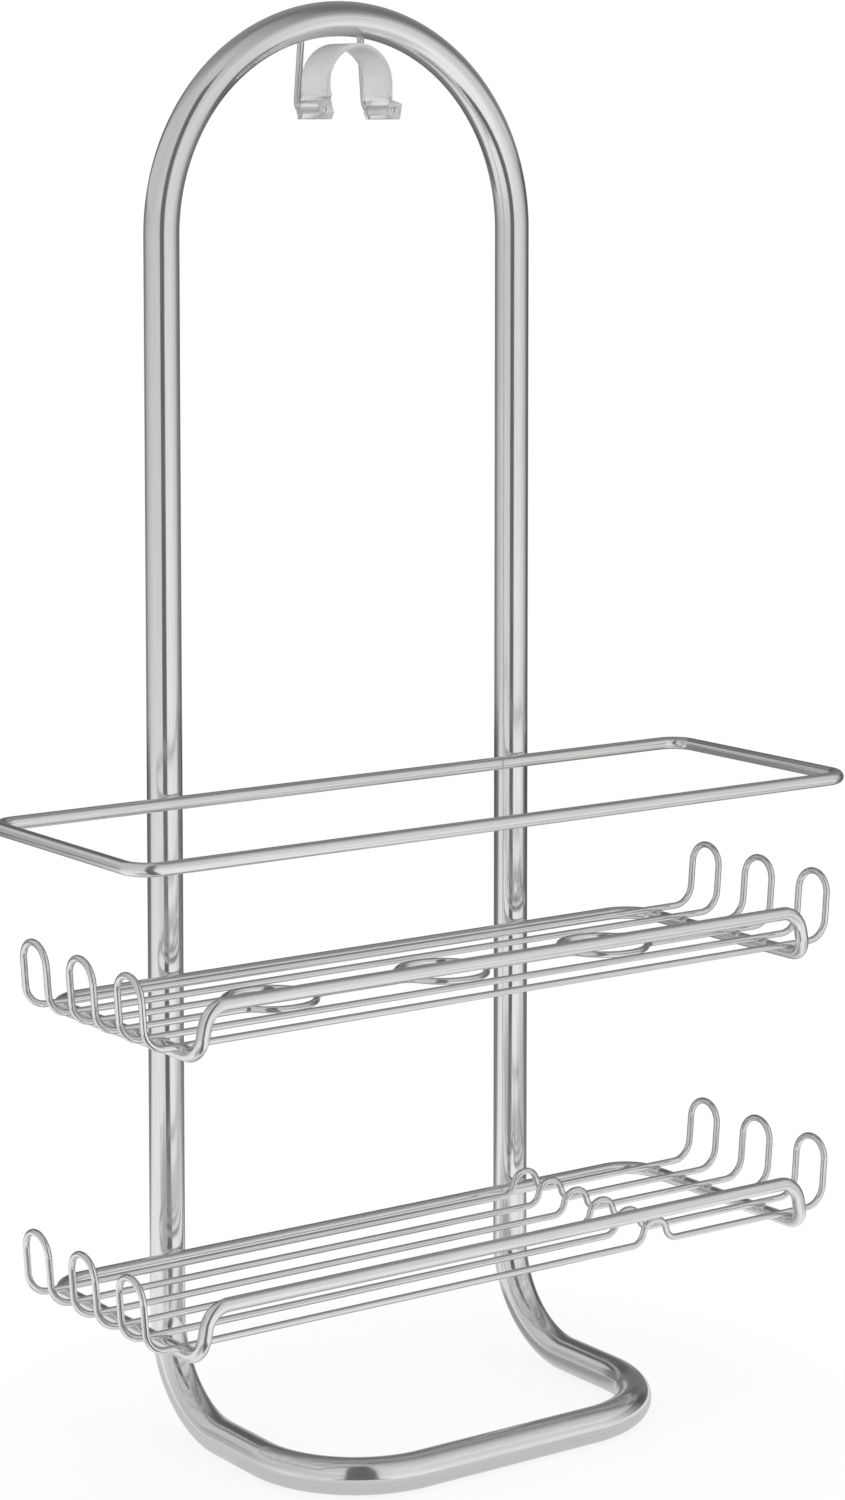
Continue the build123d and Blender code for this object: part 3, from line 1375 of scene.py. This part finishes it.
@dataclass(frozen=True)
class Shade:
    """A soft shadow painted on the tent's glowing table.

    Attributes:
        middle: x and y of the box that it fills.
        reach: how far the box goes from there.
        fade: how far past the box it fades out.
        glow: share of the table's glow that it leaves inside the box.
    """

    middle: tuple[float, float]
    reach: tuple[float, float]
    fade: float
    glow: float

    def left(self, places: np.ndarray) -> np.ndarray:
        """Work out what is left of the table's glow, rising with the distance from the box.

        Args:
            places: level places on the table, of shape (..., 2).

        Returns:
            The share that is left at each place.
        """
        beyond = np.abs(places - np.array(self.middle)) - np.array(self.reach)
        away = np.linalg.norm(np.maximum(beyond, 0), axis=-1)
        return np.interp(away, (0, self.fade), (self.glow, 1))


@dataclass(frozen=True)
class MirrorTent:
    """What the polished steel mirrors: a table, two white panels with a dark gap between, and a low lid.

    Only reflections show it: it is painted reflection, a drum turned about the object's middle that glows
    though it is no lamp. Its points each have a painted glow, where 1 is white, and its table carries
    painted shadows. Angles are in degrees from the camera's side, growing to the picture's right.

    Attributes:
        camera: the camera, which looks in through the gap.
        radius: the drum's radius.
        lid_rise: height of the lid above the arch.
        table_drop: how far below the floor the table lies.
        table_glow: the table's glow by the depth behind the object's middle.
        contact_glow: share of it left by the painted contact shadow, by the distance from the foot's centre
            line.
        contact_end: the stretch of y over which the foot bends up and its shade ends.
        shades: softer painted shadows further out.
        wall_glow: the wall's glow by height.
        right_glow: share of it by the angle to the right; the gap ends where it starts.
        left_glow: share of it by the angle to the left; the gap ends where it starts.
        back_glow: share of it at the back, low down.
        back_start: the angles, either way, over which the back starts.
        back_top: the heights over which the back's own share ends.
        lid_glow: the lid's glow by y.
        left_lid_glow: the same at the left.
        left_lid_edge: x of the edge between the two, by y.
        left_lid_fade: how far to each side of that edge they blend.
        gap_glow: glow of the gap, at every height.
        gap_on_table: distance from which the gap is dark on the table.
        gap_on_lid: distance from which it is dark on the lid.
        near_start: radius of the first ring of points on the table and the lid.
        near_end: radius of the last closely spaced one.
        near_rings: number of those.
        far_start: radius of the first of the rings that lie wider and wider apart.
        far_rings: number of those, with the wall's.
        wall_rings: rings up the wall.
    """

    camera: PhotoCamera
    radius: float = 2000.0
    lid_rise: float = 150.0
    table_drop: float = 1.0
    table_glow: Curve = ((60.0, 1.0), (230.0, 0.3), (2000.0, 0.25))
    contact_glow: Curve = ((8.0, 0.64), (30.0, 0.66), (60.0, 0.8), (90.0, 0.97), (180.0, 1.0))
    contact_end: tuple[float, float] = (-60.0, -10.0)
    shades: tuple[Shade, ...] = (
        Shade((0.0, -20.0), (80.0, 80.0), 25.0, 0.38),
        Shade((-160.0, 10.0), (60.0, 70.0), 40.0, 0.68),
        Shade((-370.0, -245.0), (110.0, 95.0), 60.0, 0.5),
        Shade((420.0, -430.0), (170.0, 150.0), 120.0, 0.7),
    )
    wall_glow: Curve = ((0.0, 0.95), (150.0, 0.93), (320.0, 0.88), (640.0, 0.8), (800.0, 0.8))
    right_glow: Curve = (
        (18.4, 1.0), (50.0, 1.0), (75.0, 0.9), (97.0, 0.68), (115.0, 0.32), (125.0, 0.13), (136.0, 0.13),
        (146.0, 0.24), (180.0, 0.24),
    )
    left_glow: Curve = ((8.6, 0.82), (60.0, 0.82), (97.0, 0.66), (115.0, 0.5), (128.0, 0.28), (180.0, 0.24))
    back_glow: float = 0.6
    back_start: tuple[float, float] = (164.0, 170.0)
    back_top: tuple[float, float] = (300.0, 450.0)
    lid_glow: Curve = (
        (-2000.0, 0.85), (-1170.0, 0.83), (-741.0, 0.74), (-416.0, 0.64), (-283.0, 0.5), (-188.0, 0.36),
        (-80.0, 0.2), (0.0, 0.2), (70.0, 0.27), (300.0, 0.34), (650.0, 0.14), (2000.0, 0.1),
    )
    left_lid_glow: Curve = (
        (-2000.0, 0.85), (-741.0, 0.74), (-283.0, 0.66), (0.0, 0.62), (1200.0, 0.65), (2000.0, 0.5),
    )
    left_lid_edge: Curve = (
        (-100.0, -20.0), (-40.0, -40.0), (20.0, -145.0), (100.0, -175.0), (300.0, -230.0), (1000.0, -285.0),
    )
    left_lid_fade: float = 95.0
    gap_glow: float = 0.15
    gap_on_table: float = 240.0
    gap_on_lid: float = 245.0
    near_start: float = 16.0
    near_end: float = 240.0
    near_rings: int = 57
    far_start: float = 250.0
    far_rings: int = 24
    wall_rings: int = 24

    @property
    def degrees(self) -> np.ndarray:
        """The columns' angles, a degree apart."""
        return np.arange(-180.0, 180.0)

    @property
    def in_gap(self) -> np.ndarray:
        """Whether each column lies in the dark gap, between where the two panels start."""
        return (self.degrees > -self.left_glow[0][0]) & (self.degrees < self.right_glow[0][0])

    @property
    def panels(self) -> np.ndarray:
        """Share of the wall's glow that the panels give in each column."""
        right, left = read_curve(self.degrees, self.right_glow), read_curve(-self.degrees, self.left_glow)
        return np.where(self.degrees > 0, right, left)

    def contact(self, places: np.ndarray) -> np.ndarray:
        """Paint a contact shadow on the table close to the foot, and the softer painted shadows under the
        shades.

        The foot's plan is a rounded box open at the back, so the distance to its centre line is that
        of the inner box less the corner radius. Where shades overlap, the darkest counts.

        Args:
            places: level places on the table, of shape (..., 2).

        Returns:
            The share of the table's glow that is left at each place.
        """
        hoop = Hoop()
        route, _ = hoop.route()
        leg, front, _ = route.corners[0]
        past = np.stack([np.abs(places[..., 0]) - leg, front - places[..., 1]], axis=-1) + hoop.foot_corner
        outside = np.linalg.norm(np.maximum(past, 0), axis=-1) + np.minimum(past.max(axis=-1), 0)
        shade = read_curve(np.abs(outside - hoop.foot_corner), self.contact_glow)
        shade = 1 - (1 - shade) * np.interp(places[..., 1], self.contact_end, (1, 0))
        return np.minimum.reduce([shade, *(soft.left(places) for soft in self.shades)])

    def on_table(self, places: np.ndarray, rings: np.ndarray) -> np.ndarray:
        """Work out the table's glow, which takes on the panels' shares towards the wall.

        Args:
            places: the points' level places, of shape (rings, columns, 2).
            rings: the rings' radii, of shape (rings, 1).

        Returns:
            The glow of each point.
        """
        behind = places @ -self.camera.outwards(np.array(0.0))
        glow = read_curve(behind, self.table_glow) * (1 - rings / self.radius * (1 - self.panels))
        glow = np.where(self.in_gap & (rings > self.gap_on_table), self.gap_glow, glow)
        return glow * self.contact(places)

    def on_wall(self, heights: np.ndarray) -> np.ndarray:
        """Work out the wall's glow: by height, times the share that its panel or the back gives.

        Args:
            heights: the rings' heights above the table, of shape (rings, 1).

        Returns:
            The glow of each point.
        """
        at_back = np.interp(np.abs(self.degrees), self.back_start, (0, 1))
        raised = at_back * np.interp(heights, self.back_top, (1, 0))
        share = self.panels + (self.back_glow - self.panels) * raised
        return np.where(self.in_gap, self.gap_glow, read_curve(heights, self.wall_glow) * share)

    def on_lid(self, places: np.ndarray, rings: np.ndarray) -> np.ndarray:
        """Work out the lid's glow: by y, blended from its left curve to its own across the edge.

        Args:
            places: the points' level places, of shape (rings, columns, 2).
            rings: the rings' radii, of shape (rings, 1).

        Returns:
            The glow of each point.
        """
        x, y = np.moveaxis(places, -1, 0)
        past_edge = x - read_curve(y, self.left_lid_edge)
        rightward = np.interp(past_edge, (-self.left_lid_fade, self.left_lid_fade), (0, 1))
        glow = rightward * read_curve(y, self.lid_glow) + (1 - rightward) * read_curve(y, self.left_lid_glow)
        return np.where(self.in_gap & (rings > self.gap_on_lid), self.gap_glow, glow)

    def build(self) -> None:
        """Stand the tent round the object.

        The drum's rows run out along the table, up the wall and back in under the lid, and its two
        middles are closed.
        """
        low, high = node_box("frame_tube")
        top = float(high[2] - low[2]) + self.lid_rise
        near = np.linspace(self.near_start, self.near_end, self.near_rings)
        far = np.geomspace(self.far_start, self.radius, self.far_rings)[:-1]
        rings = np.concatenate([near, far])[:, None]
        heights = np.linspace(0, top, self.wall_rings)[:, None]
        reach = np.concatenate([rings, np.full_like(heights, self.radius), rings[::-1]])
        levels = np.concatenate([np.zeros_like(rings), heights, np.full_like(rings, top)])
        places = reach[..., None] * self.camera.outwards(np.radians(self.degrees))
        upright = np.broadcast_to((low[2] - self.table_drop + levels)[..., None], (*places.shape[:2], 1))
        points = np.concatenate([places, upright], axis=-1)
        drum = lattice(points, False, points[[0, -1]].mean(axis=1))

        table = self.on_table(places[:len(rings)], rings)
        wall = self.on_wall(heights)
        lid = self.on_lid(places[-len(rings):], rings[::-1])
        middles = [table[0].mean(), lid[-1].mean()]
        self.dress(drum, np.concatenate([table.ravel(), wall.ravel(), lid.ravel(), middles]))

    def dress(self, drum: Surface, glow: np.ndarray) -> None:
        """Make the drum shine, seen by reflections alone.

        Args:
            drum: its shape.
            glow: its glow at each point.
        """
        mesh = drum.mesh("studio_tent")
        # The glow is painted reflection: a studio's panels, gap and lid, with painted shadows on its table.
        mesh.attributes.new(GLOW, "FLOAT", "POINT").data.foreach_set("value", glow.astype(np.float32))
        material = bare_material("studio_tent")
        material.cycles.emission_sampling = "NONE"
        tree = material.node_tree
        level = add_node(tree, "ShaderNodeAttribute", attribute_name=GLOW)
        light = add_node(tree, "ShaderNodeEmission", links={"Strength": level.outputs["Fac"]})
        add_node(tree, "ShaderNodeOutputMaterial", links={"Surface": light.outputs["Emission"]})
        made = add_stage("studio_tent", mesh, material)
        made.visible_camera = made.visible_diffuse = made.visible_transmission = False
        made.visible_shadow = made.visible_volume_scatter = False


@dataclass(frozen=True)
class PaleFloor:
    """The floor: a disc that takes a faint shadow and fades into the white round it.

    Attributes:
        paint: its colour.
        glow: share of its look that shines by itself, which keeps the shadow faint.
        solid: distance from its middle up to which it is whole.
        radius: distance where it has faded out.
        rings: rings of points, with the middle.
        columns: points round each ring.
    """

    paint: str = "#F6F6F5"
    glow: float = 0.85
    solid: float = 165.0
    radius: float = 230.0
    rings: int = 24
    columns: int = 96

    def disc(self, middle: Place) -> Surface:
        """Lay rings of points about the middle.

        Args:
            middle: the disc's middle.

        Returns:
            The disc, open at its rim.
        """
        reach = np.linspace(0, self.radius, self.rings)[1:, None, None]
        level = reach * on_circle(circle_angles(self.columns))
        points = np.concatenate([level, np.zeros((*level.shape[:2], 1))], axis=-1) + np.array(middle)
        capped = lattice(points, False, np.array([middle, middle]))
        return Surface(capped.points[:-1], capped.quads, capped.triangles[:self.columns])

    def build(self) -> None:
        """Lay the disc under the object's middle and paint it; reflections show the tent's table instead."""
        low, high = node_box("frame_tube")
        middle = (0.0, float(low[1] + high[1]) / 2, float(low[2]))
        material = bare_material("studio_floor")
        tree = material.node_tree
        place = add_node(tree, "ShaderNodeTexCoord")
        offset = add_node(
            tree, "ShaderNodeVectorMath", {1: in_metres(middle)}, {0: place.outputs["Object"]},
            operation="DISTANCE",
        )
        fade = add_node(
            tree, "ShaderNodeMapRange", {"From Min": self.solid * MM, "From Max": self.radius * MM},
            {"Value": offset.outputs["Value"]}, interpolation_type="SMOOTHSTEP",
        )
        paint = add_node(tree, "ShaderNodeBsdfDiffuse", {"Color": linear(self.paint)})
        shine = add_node(tree, "ShaderNodeEmission", {"Strength": 1.0})
        lit = add_node(
            tree, "ShaderNodeMixShader", {0: self.glow},
            {1: paint.outputs["BSDF"], 2: shine.outputs["Emission"]},
        )
        clear = add_node(tree, "ShaderNodeBsdfTransparent")
        mixed = add_node(
            tree, "ShaderNodeMixShader",
            links={0: fade.outputs["Result"], 1: lit.outputs["Shader"], 2: clear.outputs["BSDF"]},
        )
        add_node(tree, "ShaderNodeOutputMaterial", links={"Surface": mixed.outputs["Shader"]})
        mesh = self.disc(middle).mesh("studio_floor")
        add_stage("studio_floor", mesh, material).visible_glossy = False


@dataclass(frozen=True)
class Lamp:
    """A broad square lamp: its name, its place, the length of its side and its power in watts."""

    name: str
    place: Place
    side: float
    power: float

    def build(self, target: Vector) -> None:
        """Hang the lamp and aim it; reflections don't show it.

        Args:
            target: the place that it shines at, in metres.
        """
        data = bpy.data.lights.new(self.name, "AREA")
        data.size, data.energy = self.side * MM, self.power
        lamp = bpy.data.objects.new(self.name, data)
        bpy.context.scene.collection.objects.link(lamp)
        lamp.location = in_metres(self.place)
        lamp.rotation_euler = (target - lamp.location).to_track_quat("-Z", "Y").to_euler()
        lamp.visible_glossy = False


@dataclass(frozen=True)
class StudioLight:
    """The white world and the lamps.

    Attributes:
        ambient: the world's strength for matt surfaces.
        mirrored_white: its strength seen through the clip by way of a mirroring surface.
        lamps: the lamps.
        target_y: y of the place that the lamps shine at, half way up the object.
    """

    ambient: float = 0.85
    mirrored_white: float = 0.68
    lamps: tuple[Lamp, ...] = (
        Lamp("lamp_left", (-1400.0, -900.0, 1100.0), 1400.0, 5.0),
        Lamp("lamp_right", (1200.0, -1300.0, 1000.0), 1400.0, 4.0),
        Lamp("lamp_above", (100.0, -100.0, 1800.0), 1600.0, 5.0),
    )
    target_y: float = -60.0

    def world(self) -> None:
        """Set a world that is white to the eye and dimmer for matt surfaces.

        What the steel inside the clip mirrors comes in through the clip, where the tent doesn't show,
        so the white is dimmed there too.
        """
        world = bpy.data.worlds.new("studio_white")
        bpy.context.scene.world = world
        world.use_nodes = True
        tree = world.node_tree
        tree.nodes.clear()
        path = add_node(tree, "ShaderNodeLightPath").outputs
        seen = path["Is Camera Ray"]
        for ray in ("Is Glossy Ray", "Is Transmission Ray"):
            either = add_node(tree, "ShaderNodeMath", links={0: seen, 1: path[ray]}, operation="MAXIMUM")
            seen = either.outputs["Value"]
        bounced = add_node(
            tree, "ShaderNodeMath", links={0: path["Is Transmission Ray"], 1: path["Glossy Depth"]},
            operation="MULTIPLY",
        )
        white = add_node(
            tree, "ShaderNodeMapRange", {"To Min": 1.0, "To Max": self.mirrored_white},
            {"Value": bounced.outputs["Value"]},
        )
        level = add_node(
            tree, "ShaderNodeMapRange", {"To Min": self.ambient},
            {"Value": seen, "To Max": white.outputs["Result"]},
        )
        sky = add_node(
            tree, "ShaderNodeBackground", {"Color": (1, 1, 1, 1)}, {"Strength": level.outputs["Result"]}
        )
        add_node(tree, "ShaderNodeOutputWorld", links={"Surface": sky.outputs["Background"]})

    def build(self) -> None:
        """Set up the world and hang the lamps."""
        self.world()
        target = in_metres((0.0, self.target_y, node_box("frame_tube")[0][2] / 2))
        for lamp in self.lamps:
            lamp.build(target)


def main() -> None:
    """Build and dress the caddy piece by piece, then set up the studio round it."""
    logging.basicConfig(level=logging.INFO, format="%(name)s %(message)s")
    finishes = Finishes.made()
    hoop = Hoop()
    rim = Rail("rim_rail", "rim_rod", back_corner=11.0, front_corner=11.0)
    upper, lower = (
        Rail(
            f"{shelf}_shelf_rail", f"{shelf}_shelf_rod", back_corner=16.5, front_corner=9.0,
            riser_head=11.0, riser_lean=4.5,
        )
        for shelf in ("upper", "lower")
    )
    floors = [
        ShelfFloor("upper", upper, (FloorForm.PLAIN, FloorForm.RINGS, FloorForm.PLAIN)),
        ShelfFloor("lower", lower, (FloorForm.HUMPS, FloorForm.HUMPS, FloorForm.HUMPS)),
    ]
    for part in (hoop, rim, upper, lower, *floors, Hanger(), ArmClip()):
        part.dress(finishes)
    Welds().dress(finishes, hoop, [rim, upper, lower], floors)

    camera = PhotoCamera()
    for studio in (camera, MirrorTent(camera), PaleFloor(), StudioLight()):
        studio.build()
    bpy.context.scene.view_settings.view_transform = "Standard"


if __name__ == "__main__":
    main()
